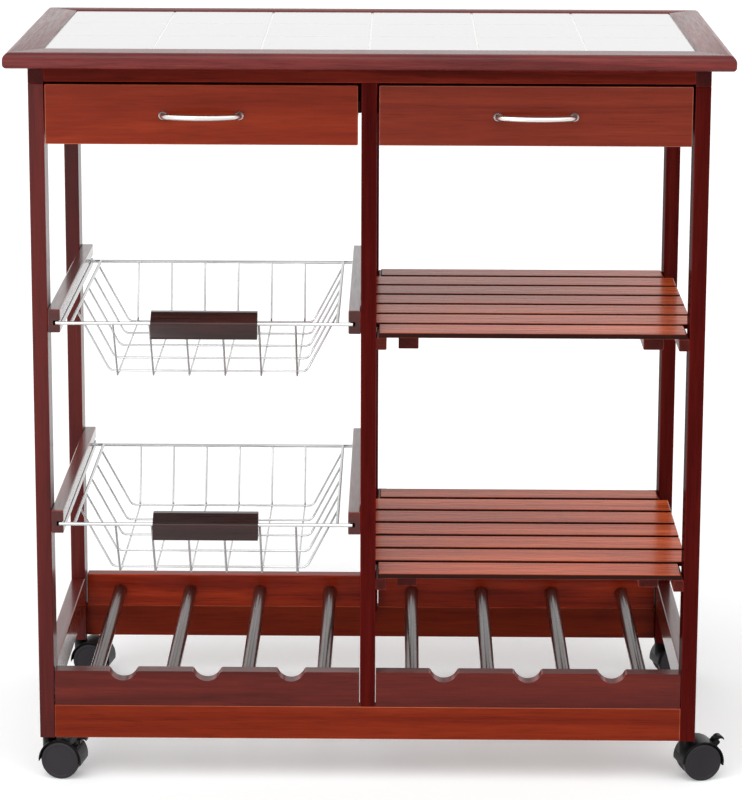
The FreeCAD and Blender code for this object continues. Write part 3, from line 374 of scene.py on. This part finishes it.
def refined(name, material, ease=0.0):
    """A welded, smooth-shaded copy of a node's shape that stands for it, with eased edges if asked."""
    source = NODES[name]
    mesh = source.data.copy()
    mesh.materials.clear()
    mesh.materials.append(material)
    work = bmesh.new()
    work.from_mesh(mesh)
    bmesh.ops.remove_doubles(work, verts=work.verts, dist=WELD)
    bmesh.ops.dissolve_degenerate(work, edges=work.edges, dist=SLIVER)
    if ease:
        flat = math.radians(FLAT_ANGLE)
        bmesh.ops.dissolve_limit(work, angle_limit=flat, verts=work.verts, edges=work.edges)
    for face in work.faces:
        face.smooth = True
    work.to_mesh(mesh)
    work.free()
    if not ease:
        mesh.set_sharp_from_angle(angle=math.radians(SHARP_ANGLE))
    piece = bpy.data.objects.new(name + "_finish", mesh)
    scene.collection.objects.link(piece)
    if ease:
        rounding = piece.modifiers.new("eased_edges", "BEVEL")
        rounding.width = ease
        rounding.segments = EASE_SEGMENTS
        rounding.limit_method = "ANGLE"
        rounding.angle_limit = math.radians(SHARP_ANGLE)
        rounding.use_clamp_overlap = True
    weighted = piece.modifiers.new("even_shading", "WEIGHTED_NORMAL")
    weighted.keep_sharp = True
    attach(piece, source["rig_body"])
    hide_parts(name)


def slat_steps(name):
    """Where the slats of a shelf start, front to back, and the pitch from one slat to the next."""
    places = sorted(vertex.co.y for vertex in NODES[name].data.vertices)
    edges = [after for last, after in zip(places, places[1:]) if after - last > WIDEST_STEP]
    pitch = edges[2] - edges[0]
    return places[0] - BEFORE_SHARE * pitch, pitch


def dress_frame():
    post = wood("post_wood", "Z", POST, seed=1.0, coat=0.1, shine=0.0, figure=0.8)
    # Left posts: the post stain with painted light from the left
    painted_lit_post = wood("left_post_painted_lit_wood", "Z", POST_PAINTED_LIT, seed=1.6, shine=0.13, figure=0.8)
    side = wood("side_wood", "Y", POST, seed=2.0, coat=0.15, shine=0.05)
    apron = wood("apron_wood", "X", APRON, seed=3.0, coat=0.1, shine=0.01)
    rail = wood("rail_wood", "X", RAIL, seed=6.0, coat=0.15, shine=0.05, wear_and_highlight=EDGE_WEAR_AND_HIGHLIGHT_PALE, figure=0.7)
    paint(painted_lit_post, "front_left_post", "back_left_post")
    paint(post, "front_right_post", "back_right_post", "front_centre_post", "back_centre_post")
    paint(apron, "front_apron", "back_apron", "top_panel")
    paint(side, "side_panels", "top_battens", "drawer_runners")
    paint(rail, "front_bottom_rail", "back_bottom_rail")


def dress_rack_and_shelves():
    front = wood("rack_wood", "X", RACK, seed=4.0, coat=0.5, shine=0.08, figure=0.7)
    side = wood("rack_side_wood", "Y", RACK, seed=5.0, coat=1.0, shine=0.18)
    back = wood("rack_back_wood", "X", BACK, seed=4.6, coat=0.35, shine=0.05)
    slat = wood("slat_wood", "X", SLAT, seed=9.0, board_step=("Y", *slat_steps("upper_shelf_slats")),
                gloss=0.28, coat=0.35, shine=0.03, sides=SLAT_SIDE_SHADE, wear_and_highlight=None)
    bearer = wood("bearer_wood", "Y", BEARER, seed=5.5, coat=0.15, shine=0.06)
    paint(front, "left_rack_front", "right_rack_front")
    paint(side, "rack_sides", "basket_rails")
    paint(back, "rack_backs")
    paint(slat, "upper_shelf_slats", "lower_shelf_slats")
    paint(bearer, "shelf_bearers", "shelf_battens")


def dress_drawers():
    # The left front painted lighter and the right front darker, as light falls from the left
    left = wood("left_front_wood", "X", LEFT_FRONT_PAINTED_LIT, seed=7.0, shine=0.06, wear_and_highlight=EDGE_WEAR_AND_HIGHLIGHT_PALE, figure=0.6)
    right = wood("right_front_wood", "X", RIGHT_FRONT_PAINTED_SHADE, seed=8.3, shine=0.08, wear_and_highlight=EDGE_WEAR_AND_HIGHLIGHT_PALE, figure=0.6)
    box_side = wood("box_side_wood", "Y", BOX, seed=10.0)
    box_cross = wood("box_cross_wood", "X", BOX, seed=11.0)
    paint(left, "left_drawer_front")
    paint(right, "right_drawer_front")
    paint(box_side, "left_drawer_sides", "right_drawer_sides")
    paint(box_cross, "left_drawer_back", "right_drawer_back", "left_drawer_floor", "right_drawer_floor")


def dress_round_wood():
    moulding = wood("moulding_wood", "X", TRIM, seed=12.0, gloss=0.26, coat=0.15, shine=0.19, wear_and_highlight=None)
    side_moulding = wood("side_moulding_wood", "Y", TRIM, seed=13.0, gloss=0.26, coat=0.15, shine=0.19,
                         wear_and_highlight=None)
    dowel = wood("dowel_wood", "Y", DOWEL, seed=14.0, gloss=0.30, coat=0.8, shine=0.10, wear_and_highlight=None)
    grip = wood("grip_wood", "X", GRIP, seed=15.0, gloss=0.30, coat=0.5, shine=0.24, wear_and_highlight=None)
    for name in ("top_front_moulding", "top_back_moulding"):
        refined(name, moulding)
    refined("top_side_mouldings", side_moulding)
    refined("rack_dowels", dowel)
    for name in ("upper_basket_grip", "lower_basket_grip"):
        refined(name, grip)


def dress_tiles():
    glaze = plain("tile_glaze", (0.70, 0.70, 0.697), variation=0.015, roughness=0.10, coat=0.3,
                  shine=0.35, grain=60.0, bump_depth=0.0002)
    grout = plain("grout", (0.93, 0.93, 0.922), variation=0.02, roughness=0.35, coat=0.2,
                  grain=1500.0, bump_depth=0.0002)
    refined("tiles", glaze, ease=TILE_EASE)
    paint(grout, "tile_grout")


def dress_metal():
    wire = plain("bright_wire", (0.66, 0.665, 0.67), variation=0.08, roughness=0.17, metallic=1.0)
    chrome = plain("satin_chrome", (0.66, 0.63, 0.61), variation=0.06, roughness=0.26, metallic=1.0,
                   grain=2500.0)
    steel = plain("zinc_steel", (0.56, 0.57, 0.58), variation=0.08, roughness=0.35, metallic=1.0)
    for name in ("upper_basket", "lower_basket"):
        refined(name, wire)
    for name in ("left_drawer_handle", "right_drawer_handle"):
        refined(name, chrome)
    paint(steel, "left_handle_screws", "right_handle_screws", "caster_sockets")
    paint(steel, *(f"{end}_{side}_caster_axle" for end in ("front", "back") for side in ("left", "right")))


def dress_casters():
    hood = plain("caster_plastic", (0.0060, 0.0055, 0.0062), variation=0.2, roughness=0.30, shine=0.12,
                 grain=2600.0, bump_depth=0.0003)
    wheel = plain("wheel_plastic", (0.021, 0.0180, 0.0215), variation=0.3, roughness=0.45, shine=0.18,
                  grain=1800.0, bump_depth=0.0004, seed=3.0)
    for end in ("front", "back"):
        for side in ("left", "right"):
            refined(f"{end}_{side}_caster_hood", hood)
            refined(f"{end}_{side}_caster_wheels", wheel)
            if end == "front":
                refined(f"{end}_{side}_brake_lever", hood)


# Surroundings: a white floor that keeps the shadow, light from all round and a panel at the left
def seen_ray(tree):
    """One for what the camera, a mirror or a glass sees, nought for the light on the trolley."""
    path = tree.nodes.new("ShaderNodeLightPath")
    either = math_node(tree, "MAXIMUM", path.outputs["Is Camera Ray"], path.outputs["Is Glossy Ray"])
    return math_node(tree, "MAXIMUM", either, path.outputs["Is Transmission Ray"])


def make_floor():
    corners = [(x * FLOOR_REACH, y * FLOOR_REACH, 0) for x, y in ((-1, -1), (1, -1), (1, 1), (-1, 1))]
    mesh = bpy.data.meshes.new("floor")
    mesh.from_pydata(corners, [], [(0, 1, 2, 3)])
    floor = bpy.data.objects.new("floor", mesh)
    scene.collection.objects.link(floor)
    material = bpy.data.materials.new("floor")
    tree, surface = node_tree(material)
    surface.inputs["Base Color"].default_value = FLOOR_COLOUR
    surface.inputs["Emission Color"].default_value = FLOOR_LIFT_COLOUR
    lift = math_node(tree, "MULTIPLY", seen_ray(tree), FLOOR_LIFT)
    tree.links.new(lift, surface.inputs["Emission Strength"])
    surface.inputs["Roughness"].default_value = FLOOR_ROUGHNESS
    surface.inputs["Specular IOR Level"].default_value = FLOOR_SHINE
    mesh.materials.append(material)


def make_world():
    world = bpy.data.worlds.new("world")
    scene.world = world
    world.use_nodes = True
    tree = world.node_tree
    tree.nodes.clear()
    output = tree.nodes.new("ShaderNodeOutputWorld")
    blend = tree.nodes.new("ShaderNodeMixShader")
    tree.links.new(seen_ray(tree), blend.inputs[0])
    for index, strength in enumerate((SOFT_LIGHT, SEEN_LIGHT), start=1):
        light = tree.nodes.new("ShaderNodeBackground")
        light.inputs["Color"].default_value = (*WHITE, 1)
        light.inputs["Strength"].default_value = strength
        tree.links.new(light.outputs[0], blend.inputs[index])
    tree.links.new(blend.outputs[0], output.inputs["Surface"])


def make_suns():
    for name, strength, spread, angles in SUNS:
        data = bpy.data.lights.new(name, "SUN")
        data.energy = strength
        data.angle = math.radians(spread)
        lamp = bpy.data.objects.new(name, data)
        lamp.rotation_euler = Euler([math.radians(turn) for turn in angles])
        scene.collection.objects.link(lamp)


def make_panel():
    data = bpy.data.lights.new("left_panel", "AREA")
    data.energy = PANEL_POWER
    data.size = PANEL_SIZE
    lamp = bpy.data.objects.new("left_panel", data)
    lamp.location = PANEL_PLACE
    lamp.visible_camera = False
    lamp.rotation_euler = (Vector(PANEL_AIM) - lamp.location).to_track_quat("-Z", "Y").to_euler()
    scene.collection.objects.link(lamp)


make_camera()
dress_frame()
dress_rack_and_shelves()
dress_drawers()
dress_round_wood()
dress_tiles()
dress_metal()
dress_casters()
make_floor()
make_world()
make_suns()
make_panel()
